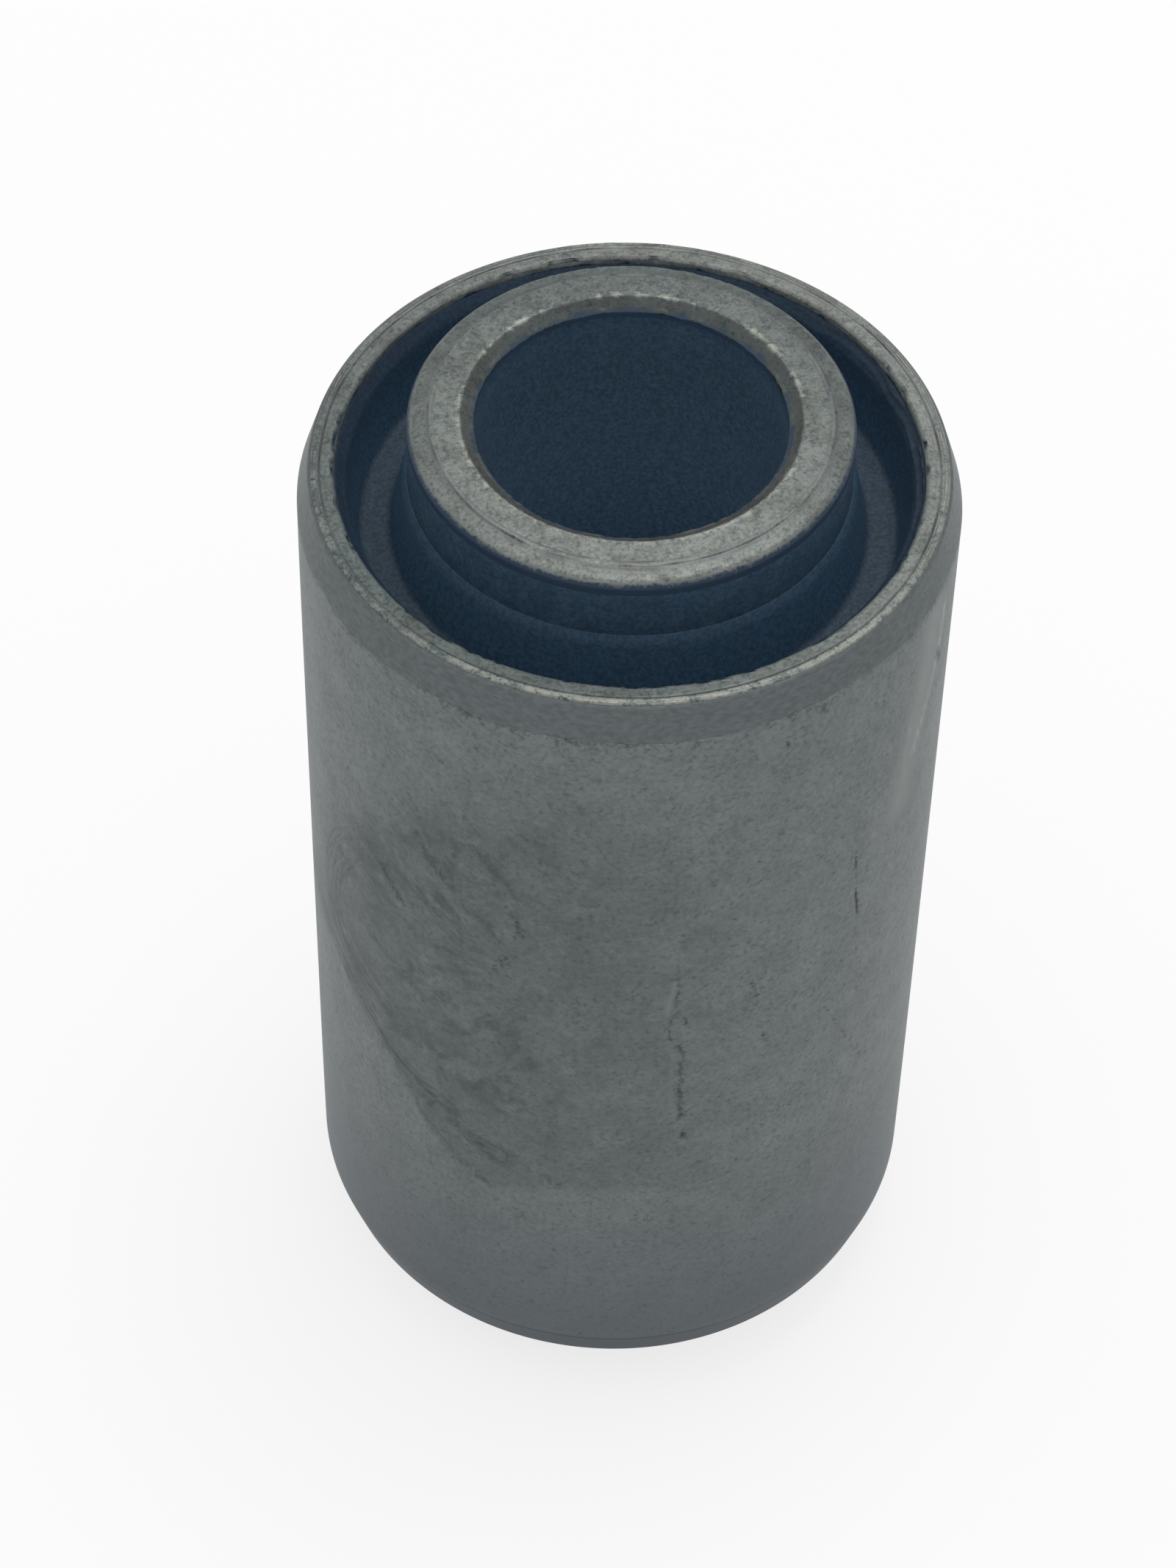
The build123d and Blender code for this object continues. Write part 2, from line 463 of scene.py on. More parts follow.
# Moulded natural rubber with carbon black. It gives the eye a matt blue-black, painted lighter deep in the
# groove, and greyer on the floor of the groove and on the thin edges, where the bloom of the moulding has
# settled.
mouldedRubberLook = {
    "colour": "#1c2e3f",
    "deep": "#45637c",      # painted light, deep in the groove, where little light reaches
    "bloom": "#3f4a54",
    "noises": {
        "patch": (1.667, 4.0, 0.65, 0.0),   # where the bloom lies thicker
        "grain": (0.4, 3.0, 0.7, 0.0),
    },
    "relief": 0.05,         # mm, height of the grain
    "bump": 0.45,
    "specular": 0.25,
    "speckle": 0.22,        # how much lighter or darker the specks are
    "roughness": 0.62,
}


def mouldedRubber():
    look = mouldedRubberLook
    markNames = ("bloom", "deep")
    material, tree, shader, _, noises, marks = startMaterial("mouldedNaturalRubber", 0.0, look, markNames)
    patch, grain = noises
    settled = addNode(tree, "MapRange", {"Value": patch, "From Min": 0.3, "From Max": 0.75,
                                         "To Min": 0.55, "To Max": 1.0})
    dry = addNode(tree, "Math", {0: marks["bloom"], 1: settled}, operation="MULTIPLY")
    # Painted light: lighter where the groove is deep.
    colour = addNode(tree, "Mix", {0: marks["deep"], 6: linear(look["colour"]), 7: linear(look["deep"])},
                     **colourMix)
    colour = addNode(tree, "Mix", {0: dry, 6: colour, 7: linear(look["bloom"])}, **colourMix)
    colour = speckled(tree, look, colour, grain)
    finishMaterial(tree, shader, look, colour, grain)
    return material


# Sizes of the outer sleeve in millimetres. Both ends are alike, and drops are measured down from the rim.
outerSleeve = {
    "columns": 372,
    "fineTurns": ((9.6, 14.2), (45.6, 48.2)),    # columns stand closer here, at the deepest scratches
    "taperLength": 4.0,
    "taperDepth": 1.2,
    "insideBreak": 0.25,       # the rim's inner edge
    "landRadius": 27.72,       # the faced land ends here, at a tool line
    "lineWidth": 0.26,
    "lineDepth": 0.09,
    "burrRadius": 28.68,       # outer edge of the burr that stands round the land
    "burrSink": 0.1,           # how far the burr's crest dips in places
    "burrTurn": 12,            # the painted highlight on the burr is brightest here
    "burrSpread": 55,
    "filmDrops": (0.45, 1.15),    # the film on the inside wall comes in between these drops
    "filmWander": 0.3,         # how ragged its upper edge is
    "edgeNibble": 0.2,         # how deep the notches in the inner edge are
    "taperTop": 0.42,          # the taper starts this far below the rim, under the burr
    "outOfRound": 0.12,        # the drawn wall is this much under size in places, so the taper's foot wanders
    "outOfRoundFade": 8.0,     # which dies away over this length of wall
    "grooveDepth": 0.045,      # of the scratches
    # Tool lines on the rim's face: (radius, half width, strength, seed of its wander).
    "rimLines": (
        (27.84, 0.15, 1.05, 41),
        (28.14, 0.08, 0.9, 42),
        (28.4, 0.07, 0.85, 43),
        (27.4, 0.1, 0.5, 44),
    ),
    # Oil wiped on the wall. Places on the wall are (turn, height above the sleeve's foot).
    "smear": {
        "lowerEdge": (
            (-84, 48.5), (-74, 47.0), (-65, 45.0), (-57.7, 42.4), (-50, 39.8), (-41, 35.4), (-36, 31.6),
            (-30, 28.8), (-22, 26.4), (-12, 28.6), (0, 29.0), (25, 29.4), (32, 35), (40, 45), (46, 56),
        ),
        "upperEdge": (
            (-84, 50), (-72, 55), (-66, 62), (-60, 68), (-50, 77), (-38, 86), (-10, 91), (10, 86), (40, 70),
        ),
        "lowerFade": (-0.4, 1.6),   # mm above the lower edge, over which it comes in
        "upperFade": (-5, 12),      # and below the upper edge
        "leftTurns": (-90, -72),    # it comes in between these turns
        "rightTurns": (-8, 40),     # and fades out between these
        "strokeCentre": (-7.3, 60.6),    # the wiped strokes run out from here
        "strokesStart": (5, 11),    # mm from the centre, over which they come in
        "strokesEnd": (20, 30),     # and over which they die out
        "strokesLeft": (4, -8),     # mm to its right, over which they come in towards the left
        "streakGap": 60,            # mm between the patterns of two streaks, so that they differ
        # Streaks of pushed oil: (path, half width, strength).
        "streaks": (
            (((-50, 68.5), (-58, 64.5), (-65, 57), (-64.5, 51), (-56, 47.5), (-44, 45.2)), 2.6, 1.0),
            (((-84, 49), (-74, 48.2), (-65, 46.4), (-57, 43.8), (-50, 41.6), (-41, 38.4), (-30, 36.5)),
             1.3, 0.95),
            (((-42, 37.2), (-35, 35.2), (-28, 33.8), (-20.5, 32.4)), 1.5, 0.9),
            (((-40, 35.4), (-36, 32.0), (-30, 29.3), (-22, 26.7)), 0.55, 0.8),
        ),
    },
    # Scratches and nicks: (path, half width, how dark, how deep), the last two from 0 to 1.
    "scratches": (
        (((11.0, 64.6), (11.6, 60.6)), 0.25, 0.3, 0.2),
        (((11.2, 60.4), (11.0, 58.8)), 0.25, 0.55, 0.4),
        (((11.3, 57.8), (10.2, 56.6), (9.8, 55.0), (10.4, 53.4)), 0.2, 0.5, 0.6),
        (((11.5, 57.8), (13.4, 56.2), (13.8, 54.0), (12.8, 52.4)), 0.16, 0.25, 0.5),
        (((11.2, 52.6), (12.4, 52.0), (12.9, 50.6), (12.2, 49.6)), 0.32, 0.6, 0.8),
        (((12.5, 49.4), (12.3, 45.0), (12.8, 40.6)), 0.46, 0.46, 0.6),
        (((13.2, 41.4), (13.4, 40.9)), 0.3, 0.6, 0.5),
        (((13.4, 38.6), (13.6, 38.0)), 0.36, 0.75, 0.8),
        (((46.4, 70.8), (46.7, 69.0)), 0.22, 0.9, 1.0),
        (((47.2, 65.3), (48.2, 61.2)), 0.22, 1.0, 1.0),
        (((46.7, 69.0), (47.2, 65.3)), 0.1, 0.3, 0.4),
        (((48.2, 61.2), (47.8, 57.6)), 0.1, 0.3, 0.3),
        (((41.3, 50.4), (45.7, 45.6), (50.1, 40.2), (53.9, 36.8)), 0.14, 0.5, 0.3),
        (((34.6, 96.0), (35.6, 95.2)), 0.34, 0.95, 1.0),
        (((29.8, 94.0), (28.9, 92.2)), 0.3, 0.7, 0.4),
        (((51.6, 91.4), (49.5, 89.0)), 0.4, 0.4, 0.2),
        (((69.6, 87.6), (72.0, 85.6)), 0.4, 1.0, 0.8),
        (((-37.4, 75.4), (-31.8, 71.4)), 0.35, 0.7, 0.2),
        (((-27.0, 79.0), (-20.5, 74.6)), 0.3, 0.35, 0.1),
        (((-46.4, 67.2), (-41.4, 64.2)), 0.5, 0.65, 0.2),
        (((-17.4, 69.6), (-17.0, 67.6)), 0.4, 0.6, 0.2),
        (((-21.5, 61.6), (-19.5, 63.6)), 0.35, 0.6, 0.2),
        (((-12.4, 82.9), (-9.8, 82.6)), 0.4, 0.6, 0.2),
        (((-34.0, 52.6), (-30.6, 53.4)), 0.35, 0.45, 0.2),
        (((24.6, 59.9), (26.4, 57.4)), 0.3, 0.5, 0.2),
        (((27.8, 51.2), (28.6, 50.0)), 0.3, 0.6, 0.2),
        (((6.2, 24.4), (7.2, 24.0)), 0.45, 0.35, 0.1),
        (((-13.0, 30.4), (-2.0, 29.4), (8.0, 29.5), (21.0, 29.6)), 0.35, 0.3, 0.0),
    ),
    # Pale scuffs where the film was rubbed through: (path, half width, strength).
    "scuffs": (
        (((10.6, 62.0), (9.4, 57.6)), 0.25, 0.3),
        (((10.9, 51.5), (10.8, 46.0), (11.6, 41.0)), 0.3, 0.12),
        (((66.0, 94.0), (64.5, 87.0), (61.0, 80.0), (58.5, 72.5)), 2.2, 0.42),
        (((72.0, 93.0), (70.5, 87.0), (65.0, 81.0), (62.5, 78.0)), 0.5, 0.95),
        (((60.0, 83.0), (58.3, 73.0)), 0.4, 0.6),
        (((50.5, 72.0), (51.5, 71.2)), 0.4, 0.5),
        (((-35.0, 67.6), (-30.0, 66.4)), 0.3, 0.4),
    ),
}


# Distance in millimetres on the wall from each point of a grid to a path of (turn, height) points,
# and how far along the path its nearest point lies. The path's corners are cut three times over,
# at a quarter of each side, and then the nearest point of each straight piece is compared.
def pathFrame(turn, height, path):
    millimetresPerDegree = np.pi * pressRadius / 180
    points = np.array(path, float) * (millimetresPerDegree, 1)
    for _ in range(3 if len(points) > 2 else 0):
        early = 0.75 * points[:-1] + 0.25 * points[1:]
        late = 0.25 * points[:-1] + 0.75 * points[1:]
        points = np.concatenate([points[:1], np.stack([early, late], 1).reshape(-1, 2), points[-1:]])
    nearest = np.full(turn.shape, 1e9)
    along = np.zeros(turn.shape)
    travelled = 0
    for start, end in zip(points[:-1], points[1:]):
        run = end - start
        x = turn * millimetresPerDegree - start[0]
        y = height - start[1]
        t = np.clip((x * run[0] + y * run[1]) / (run ** 2).sum(), 0, 1)
        distance = np.hypot(x - t * run[0], y - t * run[1])
        along = np.where(distance < nearest, travelled + t * np.hypot(*run), along)
        nearest = np.minimum(nearest, distance)
        travelled += np.hypot(*run)
    return nearest, along


# Dark lines cut round a face: at each line a bell across the radius, whose place wanders and whose
# strength comes and goes round the ring.
def toolLines(turn, radius, lines):
    dark = np.zeros(radius.shape)
    for centre, width, strength, seed in lines:
        wander = 0.05 * ringWaves(turn, 2, 24, seed)
        fade = np.clip(0.75 + 0.6 * ringWaves(turn, 2, 40, seed + 100), 0.1, 1.0)
        dark = np.maximum(dark, strength * fade * bell(radius, centre + wander, width))
    return dark


# What the smear gives each point of the wall: a share of 1 inside its two edges that fades over a few
# millimetres, the streaks of pushed oil with the places along and across them, and the place from
# the centre that the wiped strokes run out from.
def smearMarks(turn, height):
    size = outerSleeve["smear"]
    lower = np.interp(turn, *zip(*size["lowerEdge"]))
    upper = np.interp(turn, *zip(*size["upperEdge"]))
    smear = smoothStep(*size["lowerFade"], height - lower) * smoothStep(*size["upperFade"], upper - height)
    leftFade = smoothStep(*size["leftTurns"], turn)
    smear = smear * leftFade * (1 - smoothStep(*size["rightTurns"], turn))
    ridge = np.zeros(turn.shape)
    across = np.full(turn.shape, 1e9)
    along = np.zeros(turn.shape)
    offset = 0
    for path, halfWidth, strength in size["streaks"]:
        distance, travelled = pathFrame(turn, height, path)
        ridge = np.maximum(ridge, strength * bell(distance, 0, halfWidth))
        along = np.where(distance < across, offset + travelled, along)
        across = np.minimum(across, distance)
        offset += size["streakGap"]
    centreTurn, centreHeight = size["strokeCentre"]
    strokeX = turnFrom(turn, centreTurn) * np.pi * pressRadius / 180
    strokeY = height - centreHeight
    # The strokes show only to the left of the centre, and die out towards it and far from it.
    reach = np.hypot(strokeX, strokeY)
    strokes = smear * smoothStep(*size["strokesStart"], reach) * (1 - smoothStep(*size["strokesEnd"], reach))
    strokes = strokes * smoothStep(*size["strokesLeft"], strokeX)
    return {
        "smear": smear,
        "strokes": strokes,
        "ridge": ridge * leftFade,
        "acrossEdge": across,
        "alongEdge": along,
        "strokeX": strokeX,
        "strokeY": strokeY,
    }


# The outer sleeve is its section carried round the axis. The radius of each point is the section's, less
# the ovality of the drawn tube and the depth of the scratches, plus the nicks in the rim's inner edge.
# Its height is the section's, less what the burr dips.
def makeOuterSleeve():
    size = outerSleeve
    turns = ringTurns(size["columns"], size["fineTurns"])
    slope = size["taperDepth"] / size["taperLength"]
    taperStart = pressRadius - size["taperDepth"]
    spots = drawSection([
        (bondRadius, 1.6, 0.0, 0.2),
        (bondRadius, size["insideBreak"], 0.1, 0.1),
        (bondRadius + size["insideBreak"], 0.03, 0.1, 0.09),
        (size["landRadius"], 0.03, 0.04, 0.06),
        (size["landRadius"] + size["lineWidth"] / 2, size["lineDepth"], 0.04, 0.06),
        (size["landRadius"] + size["lineWidth"], 0.02, 0.06, 0.07),
        (size["burrRadius"] - 0.14, 0.0, 0.12, 0.07),
        (size["burrRadius"], 0.26, 0.04, 0.08),
        (taperStart + size["taperTop"] * slope, size["taperTop"], 0.06, 0.7),
        (pressRadius, size["taperLength"], 0.0, 1.0),
    ])
    endRadius, endDrop = spots[:, 0], spots[:, 1]
    length = sleeveTop - sleeveFoot
    wallHeight = np.concatenate([
        np.arange(5.0, 37, 1.4),
        np.arange(37.4, 71, 0.56),     # closer together where the scratches are
        np.arange(71.6, 95.6, 1.3),
    ])
    # The section goes out over the upper rim, down the wall and back in under the lower rim.
    rowRadius = np.concatenate([endRadius, np.full(wallHeight.size, pressRadius), endRadius[::-1]])
    rowHeight = np.concatenate([length - endDrop, wallHeight[::-1], endDrop[::-1]])
    radius, height, turn = spreadRows(turns, rowRadius, rowHeight)
    upper = height > length / 2
    drop = np.where(upper, length - height, height)
    outside = radius > size["burrRadius"] + 0.02
    # The drawn wall is a little under size in places near each end, and the cone cuts it lower or
    # higher there, so the rows of the taper are stretched down to where the two meet.
    oval = np.where(upper, ringWaves(turns, 2, 14, 5)[:, None], ringWaves(turns, 2, 14, 6)[:, None])
    oval = size["outOfRound"] * (0.5 + 0.5 * oval)
    footDrop = size["taperLength"] - oval / slope
    onWall = outside & (drop > size["taperLength"] - 1e-6)
    onTaper = outside & ~onWall & (drop > size["taperTop"] - 1e-6)
    stretch = (footDrop - size["taperTop"]) / (size["taperLength"] - size["taperTop"])
    onFoot = onWall & (drop < size["taperLength"] + 1e-6)
    moved = np.where(onTaper | onFoot, size["taperTop"] + (drop - size["taperTop"]) * stretch, drop)
    pastTaper = np.maximum(drop - size["taperLength"], 0)
    wallRadius = pressRadius - oval * np.exp(-pastTaper / size["outOfRoundFade"])
    radius = np.where(onWall, wallRadius, np.where(onTaper, taperStart + slope * moved, radius))
    # The burr stands up unevenly, and where it dips its painted highlight is fainter.
    onFace = ~outside & (drop < 0.3)
    crest = 0.5 + 0.5 * ringWaves(turns, 5, 110, 8)[:, None] * np.where(upper, 1, -1)
    burr = bell(radius, size["burrRadius"] - 0.28, 0.24) * onFace
    moved = moved + size["burrSink"] * burr * (1 - crest)
    height = np.where(upper, length - moved, moved)
    # Painted highlight on the burr, strongest where its crest stands up and round the highlight's turn.
    shine = (0.45 + 0.85 * crest) * bell(radius, size["burrRadius"] - 0.32, 0.4) * onFace
    highlightShare = 0.4 + 0.65 * bell(turnFrom(turn, size["burrTurn"]), 0, size["burrSpread"])
    # The oil tint, used as painted shade, darkens the rim most at the front and the left.
    oiled = 0.55 + 0.3 * np.cos(np.radians(turn)) - 0.3 * np.sin(np.radians(turn))
    # The bonding film starts raggedly a little way down the inside wall. The rim's edge above it is
    # nibbled, and the film creeps over it in the notches and at the front.
    onBreak = (radius < bondRadius + size["insideBreak"] + 0.1) & (drop < size["insideBreak"] + 0.1)
    nibble = np.clip(ringWaves(turns, 4, 170, 9)[:, None], 0, 1)
    creep = 0.3 + 0.3 * np.cos(np.radians(turn)) + 0.8 * nibble
    creep = creep * smoothStep(bondRadius + 0.5, bondRadius + 0.05, radius) * (drop < 0.3)
    insideWall = radius < bondRadius + 0.02
    filmDrop = drop + size["filmWander"] * ringWaves(turns, 8, 170, 13)[:, None]
    film = np.maximum(1.05 * smoothStep(*size["filmDrops"], filmDrop) * insideWall, creep)
    dull = np.where(insideWall | onBreak, 1.0, 0.0)
    radius = radius + size["edgeNibble"] * nibble * onBreak
    # A painted shadow line runs under the burr and goes in with the tool lines, which are fainter at the
    # front.
    underBurr = bell(drop, size["taperTop"] - 0.06, 0.14) * (radius > size["burrRadius"] - 0.05)
    toolLine = toolLines(turn, radius, size["rimLines"]) * onFace * (1 - 0.5 * bell(turn, 0, 45))
    toolLine = np.maximum(toolLine, 1.2 * underBurr)
    dirt = np.zeros(radius.shape)
    for path, halfWidth, dark, deep in size["scratches"]:
        groove = bell(pathFrame(turn, height, path)[0], 0, halfWidth) * outside
        radius = radius - size["grooveDepth"] * deep * groove
        dirt = np.maximum(dirt, dark * groove)
    # Painted shadow: a dark line along the foot of each taper, strong at the top end and faint at the bottom.
    footLine = np.clip(0.45 + 0.5 * ringWaves(turns, 3, 120, 12)[:, None], 0.1, 1) * np.where(upper, 1, 0.1)
    dirt = np.maximum(dirt, footLine * 0.6 * bell(moved, footDrop, 0.28) * outside)
    scuff = np.zeros(radius.shape)
    for path, halfWidth, strength in size["scuffs"]:
        rubbed = bell(pathFrame(turn, height, path)[0], 0, halfWidth) * onWall
        scuff = np.maximum(scuff, strength * rubbed)
    finishOfRow = np.where(rowRadius > size["burrRadius"] + 0.02, 2, 1)
    finishOfRow[endRadius.size - 1:endRadius.size + wallHeight.size] = 0
    marks = {
        "shine": shine * highlightShare,
        "toolLine": toolLine,
        "oiled": oiled,
        "tornCut": 0.0,
        "film": film,
        "dull": dull,
        "thinFilm": 0.0,
        "dirt": dirt,
        # painted shade on the lower taper
        "soil": np.where(upper, 0.0, 1.0),
        "scuff": scuff,
        **smearMarks(turn, height),
    }
    finishes = [drawnTube(), facedSteel(), turnedTaper()]
    return makeRing("outerSleeve", turns, radius, sleeveFoot + height, finishes, finishOfRow, marks)


# Sizes of the inner sleeve in millimetres, with drops measured down from its faced end.
innerSleeve = {
    "columns": 380,
    "boreChamferWidth": 1.25,    # across the end face
    "boreChamferDepth": 0.9,
    "bevelWidth": 1.45,
    "bevelDepth": 0.45,
    "cornerWidth": 0.45,
    "cornerDepth": 0.6,
    "lineDepth": 0.03,           # of the line between the flat face and the bevel
    "mouthWander": 0.15,         # how ragged the edges of the bore's chamfer and the outer corner are
    "filmWander": 0.25,          # and the edge of the film on it
    "thinFilmDrops": (2.0, 32.0),    # the film is painted lighter between these drops, down the bore
    # How much the oil tint, used as painted shade, darkens the end face at turns from the front to the back,
    # alike on both sides.
    "oilTurns": (0, 30, 85, 140, 180),
    "oilShares": (0.2, 0.22, 0.52, 0.74, 0.75),
    "stepTurn": 75,              # the line by the bevel opens out to a step here
    "stepSpread": 45,
    # Tool lines on the end face, in the same form.
    "faceLines": (
        (18.12, 0.2, 1.1, 51),
        (17.68, 0.1, 0.9, 52),
        (18.4, 0.28, 0.6, 53),
        (18.85, 0.08, 0.5, 54),
    ),
}


# The inner sleeve is its section carried round the axis, with the edges of the end faces moved in and
# out by waves round the ring.
def makeInnerSleeve():
    size = innerSleeve
    turns = ringTurns(size["columns"])
    mouth = boreRadius + size["boreChamferWidth"]
    bevelFoot = pinWallRadius - size["cornerWidth"]
    bevelTop = bevelFoot - size["bevelWidth"]
    wallDrop = size["bevelDepth"] + size["cornerDepth"]
    half = (standTop - standFoot) / 2
    # Upper half of the section, from the middle of the bore up, over the end face and down the wall.
    spots = drawSection([
        (boreRadius, half, 0.0, 5.0),
        (boreRadius, 14.0, 0.0, 1.6),
        (boreRadius, size["boreChamferDepth"] + 0.6, 0.0, 0.2),
        (boreRadius, size["boreChamferDepth"], 0.05, 0.14),
        (mouth, 0.0, 0.06, 0.13),
        (bevelTop - 0.16, 0.0, 0.03, 0.06),
        (bevelTop, size["lineDepth"], 0.03, 0.06),
        (bevelTop + 0.16, size["lineDepth"], 0.03, 0.13),
        (bevelFoot, size["bevelDepth"], 0.1, 0.1),
        (pinWallRadius, wallDrop, 0.12, 0.7),
        (pinWallRadius, 9.0, 0.0, 12.0),
        (pinWallRadius, half - 1.0, 0.0, 12.0),
    ])
    rowRadius, rowDrop, rowSide = bothEnds(spots, pinWallRadius, half)
    radius, drop, turn = spreadRows(turns, rowRadius, rowDrop)
    upper = rowSide >= 0
    # Both edges of the bore's chamfer are ragged, its mouth carries a fine burr that comes and goes,
    # and the outer corner is nibbled.
    wave = np.where(upper, ringWaves(turns, 3, 150, 21)[:, None], ringWaves(turns, 3, 150, 23)[:, None])
    otherWave = ringWaves(turns, 3, 150, 22)[:, None]
    nearMouth = bell(radius, mouth, 0.3) * (drop < 0.35)
    nearBore = bell(drop, size["boreChamferDepth"], 0.4) * (radius < boreRadius + 0.3)
    atCorner = bell(radius, bevelFoot, 0.2) * (drop < wallDrop)
    radius = radius + size["mouthWander"] * (wave * nearMouth - np.abs(otherWave) * atCorner)
    drop = drop + size["mouthWander"] * otherWave * nearBore
    # Painted highlights on the fine burr at the mouth, and fainter ones along the bevel's outer edge.
    shine = np.clip(0.3 + 1.1 * wave, 0, 1) * bell(radius, mouth + 0.16, 0.32) * (drop < 0.25)
    bevelShine = np.clip(0.25 + 0.8 * otherWave, 0, 1) * bell(radius, bevelFoot - 0.2, 0.25)
    shine = np.maximum(1.15 * shine, 0.2 * bevelShine * (drop < 0.6))
    # The lines are darkest at the front.
    toolLine = toolLines(turn, radius, size["faceLines"]) * (0.7 + 0.45 * bell(turn, 5, 55)) * (drop < 0.6)
    # The line opens out to a wider step on the right-hand side.
    wide = bell(turnFrom(turn, size["stepTurn"]), 0, size["stepSpread"])
    toolLine = np.maximum(toolLine, 0.62 * wide * bell(radius, bevelTop + 0.1, 0.24) * (drop < 0.4))
    # Bonding film covers the wall and the bore, and creeps over both edges of the bare steel.
    film = 1.2 * smoothStep(bevelFoot - 0.1, pinWallRadius + 0.05, radius) * (drop < 3)
    filmDrop = drop + size["filmWander"] * otherWave
    inMouth = smoothStep(0.35, size["boreChamferDepth"] + 0.4, filmDrop) * (radius < mouth)
    film = np.maximum(film, 1.2 * inMouth)
    # The oil tint, used as painted shade, leaves the end face lighter at the front and darker towards the
    # back, and the bevel darker still, most at the back.
    fromFront = np.abs(turn)
    oiled = np.interp(fromFront, size["oilTurns"], size["oilShares"])
    onBevel = smoothStep(bevelTop - 0.05, bevelTop + 0.3, radius) * (drop < 0.6)
    oiled = oiled + onBevel * (0.1 + 0.15 * smoothStep(40, 120, fromFront))
    tornCut = smoothStep(mouth + 0.08, mouth - 0.12, radius) * (drop < 3)
    toolLine = np.maximum(toolLine, 0.42 * tornCut)
    # Painted light: the film in the bore is made lighter the deeper it lies.
    inBore = (radius < boreRadius + 0.5) & (drop > size["boreChamferDepth"] - 0.5)
    thinFilm = (0.14 + 0.84 * smoothStep(*size["thinFilmDrops"], drop)) * inBore
    thinFilm = thinFilm * np.where(drop < size["boreChamferDepth"] + 0.7, 0.5, 1)
    height = np.where(rowSide > 0, standTop - drop, np.where(rowSide < 0, standFoot + drop, middle))
    finishOfRow = np.where(rowDrop < wallDrop + 0.5, 1, 0)
    marks = {
        "shine": shine,
        "toolLine": toolLine,
        "oiled": oiled,
        "tornCut": tornCut,
        "film": film,
        "dull": 0.0,
        "thinFilm": thinFilm,
    }
    finishes = [bondingFilm(), facedSteel()]
    return makeRing("innerSleeve", turns, radius, height, finishes, finishOfRow, marks)


# Sizes of the rubber in millimetres, with drops measured down from the edges of its skins.
rubberElement = {
    "columns": 360,
    "skinEdge": 0.1,
    "skinTaper": 0.8,
    "innerSkin": 0.45,
    "outerSkin": 0.9,
    "grooveDepth": 6.9,
    "draft": 11.0,             # degrees
    "lipRound": 0.45,
    "rootRound": 0.6,
    "flashTurn": 92,           # the skin's edge is most wrinkled here
    "flashSpread": 42,
    "ripplePitch": 0.7,
    "rippleDepth": 0.2,
}


# The rubber is its section carried round the axis. Near the edge of the outer skin the height drops by
# waves round the ring, and the radius by ripples that run down the skin.
def makeRubberElement():
    size = rubberElement
    turns = ringTurns(size["columns"])
    taper = size["skinTaper"]
    fall = (size["grooveDepth"] - taper) * np.tan(np.radians(size["draft"]))
    half = (skinTop - skinFoot) / 2
    # Upper half of the section: up the bond with the inner sleeve, down into the groove, across its
    # floor and up to the outer skin's edge, and down the bond with the outer sleeve.
    spots = drawSection([
        (pinWallRadius, half, 0.0, 16.0),
        (pinWallRadius, 0.0, 0.04, 0.1),
        (pinWallRadius + size["skinEdge"], 0.0, 0.06, 0.14),
        (pinWallRadius + size["innerSkin"], taper, size["lipRound"], 0.5),
        (pinWallRadius + size["innerSkin"] + fall, size["grooveDepth"], size["rootRound"], 0.35),
        (bondRadius - size["outerSkin"] - fall, size["grooveDepth"], size["rootRound"], 0.4),
        (bondRadius - size["outerSkin"], taper, size["lipRound"], 0.1),
        (bondRadius - size["skinEdge"], 0.0, 0.06, 0.1),
        (bondRadius, 0.0, 0.04, 16.0),
        (bondRadius, half - 1.0, 0.0, 16.0),
    ])
    rowRadius, rowDrop, rowSide = bothEnds(spots, bondRadius, half)
    radius, drop, turn = spreadRows(turns, rowRadius, rowDrop)
    # The mould let a little rubber squeeze up the outer sleeve, so that skin's edge is ragged and
    # rippled, most of all on one side. Ripples are a cosine down the skin whose phase wanders.
    onSkin = smoothStep(bondRadius - 1.4, bondRadius - 0.5, radius) * (radius < bondRadius - 0.02)
    most = bell(turnFrom(turns, size["flashTurn"]), 0, size["flashSpread"])[:, None]
    ragged = 0.5 + 0.5 * ringWaves(turns, 6, 90, 31)[:, None]
    drop = drop + onSkin * np.exp(-drop / 0.8) * ragged * (0.12 + 0.35 * most)
    phase = 3 * ringWaves(turns, 3, 30, 33)[:, None]
    ripple = 0.5 + 0.5 * np.cos(2 * np.pi * drop / size["ripplePitch"] + phase)
    rippled = most * onSkin * np.exp(-drop / 2.0) * ripple
    radius = radius - size["rippleDepth"] * rippled
    height = np.where(rowSide > 0, skinTop - drop, np.where(rowSide < 0, skinFoot + drop, middle))
    onFloor = smoothStep(size["grooveDepth"] - 0.9, size["grooveDepth"] - 0.1, drop) * (drop < 8)
    onLips = np.maximum(0.25 * bell(drop, taper + 0.05, 0.3), 0.8 * rippled)
    # Painted light: the rubber is lighter on the inner half of the groove, a little towards the back, below
    # the lips, and more the deeper it lies.
    onSlope = 0.32 * (radius < (pinWallRadius + bondRadius) / 2) + 0.08 * smoothStep(110, 160, np.abs(turn))
    deep = np.maximum(onSlope, 0.32 * smoothStep(taper - 0.3, taper + 0.3, drop))
    deep = deep + 0.55 * smoothStep(taper, size["grooveDepth"], drop)
    finishOfRow = np.zeros(rowRadius.size, int)
    marks = {"bloom": np.maximum(onFloor, onLips), "deep": deep}
    return makeRing("rubberElement", turns, radius, height, [mouldedRubber()], finishOfRow, marks)


for node, slot, piece in (
    ("outer_sleeve", "outer_steel", makeOuterSleeve()),
    ("rubber_element", "rubber", makeRubberElement()),
    ("inner_sleeve", "inner_steel", makeInnerSleeve()),
):
    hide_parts(node)
    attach(piece, "root")
print("three rings built")


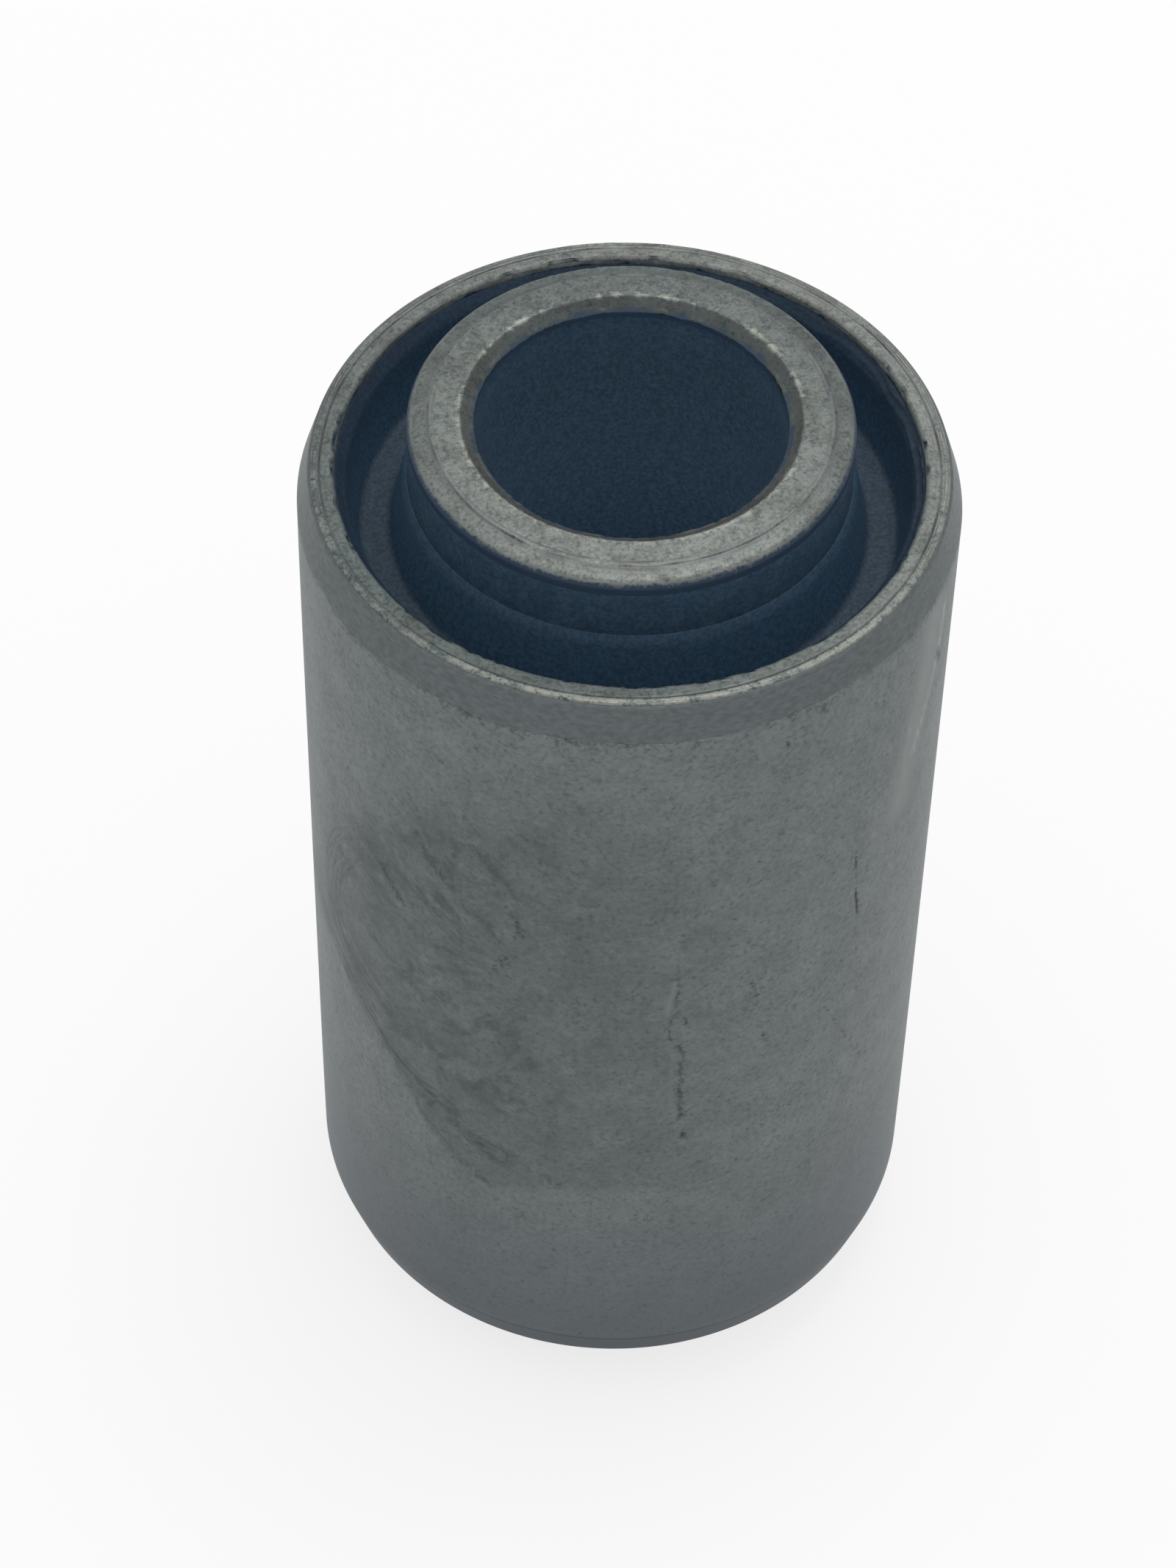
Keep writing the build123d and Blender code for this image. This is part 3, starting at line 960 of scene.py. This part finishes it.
# Camera, floor and light. The camera stands 0.5 m off and looks down at about 46 degrees.
stage = {
    "cameraPlace": (0.0, -0.2917, 0.4079),
    "cameraTurn": (40.068, -0.825, 1.599),    # degrees about X, Y and Z
    "lens": 107.5,                            # mm, on a 36 mm sensor
    "worldFill": 0.9,                         # light from all round
    "floorHalf": 6.0,
    "floorWhite": 0.93,
    "floorPlain": 0.75,                       # share of the floor that is seen as plain white
    "lampSize": 0.3,
    "lampPlace": (0.10, 0.13, 0.72),
    "lampPower": 0.75,
}


# How much of a ray comes from the camera, a mirroring surface or glass: 1 for any of them, else 0.
def seenRay(tree):
    path = addNode(tree, "LightPath").node.outputs
    first = addNode(tree, "Math", {0: path["Is Camera Ray"], 1: path["Is Glossy Ray"]}, operation="MAXIMUM")
    return addNode(tree, "Math", {0: first, 1: path["Is Transmission Ray"]}, operation="MAXIMUM")


# The camera's lens and place give the photograph's framing with no shift.
def makeCamera():
    camera = bpy.data.objects.new("camera", bpy.data.cameras.new("camera"))
    camera.location = stage["cameraPlace"]
    camera.rotation_euler = np.radians(stage["cameraTurn"])
    camera.data.lens = stage["lens"]
    camera.data.clip_start = 0.01
    bpy.context.scene.collection.objects.link(camera)
    bpy.context.scene.camera = camera


# White paper. Part of what is seen of it is plain white, and the rest is lit, so its shadow is pale.
def makeFloor():
    half = stage["floorHalf"]
    mesh = bpy.data.meshes.new("floor")
    corners = [(-half, -half, 0), (half, -half, 0), (half, half, 0), (-half, half, 0)]
    mesh.from_pydata(corners, [], [(0, 1, 2, 3)])
    material = bpy.data.materials.new("whitePaper")
    material.use_nodes = True
    tree = material.node_tree
    tree.nodes.clear()
    lit = addNode(tree, "BsdfDiffuse", {"Color": (stage["floorWhite"],) * 3 + (1,)})
    plain = addNode(tree, "Emission", {"Color": (1, 1, 1, 1), "Strength": 1.0})
    share = addNode(tree, "Math", {0: seenRay(tree), 1: stage["floorPlain"]}, operation="MULTIPLY")
    mixed = addNode(tree, "MixShader", {0: share, 1: lit, 2: plain})
    addNode(tree, "OutputMaterial", {"Surface": mixed})
    mesh.materials.append(material)
    floor = bpy.data.objects.new("floor", mesh)
    bpy.context.scene.collection.objects.link(floor)


# Even light from all round, seen as plain white, and one soft lamp above and a little behind.
def makeLight():
    world = bpy.data.worlds.new("studio")
    bpy.context.scene.world = world
    world.use_nodes = True
    tree = world.node_tree
    tree.nodes.clear()
    strength = addNode(tree, "MapRange", {"Value": seenRay(tree), "To Min": stage["worldFill"]})
    sky = addNode(tree, "Background", {"Color": (1, 1, 1, 1), "Strength": strength})
    addNode(tree, "OutputWorld", {"Surface": sky})
    lamp = bpy.data.objects.new("softbox", bpy.data.lights.new("softbox", "AREA"))
    lamp.data.shape = "DISK"
    lamp.data.size = stage["lampSize"]
    lamp.data.energy = stage["lampPower"]
    lamp.location = stage["lampPlace"]
    fromBush = lamp.location - Vector((0, 0, middle * mm))
    lamp.rotation_euler = fromBush.to_track_quat("Z", "Y").to_euler()
    bpy.context.scene.collection.objects.link(lamp)


makeCamera()
makeFloor()
makeLight()
bpy.context.scene.view_settings.view_transform = "Standard"
print("camera, floor and light set")
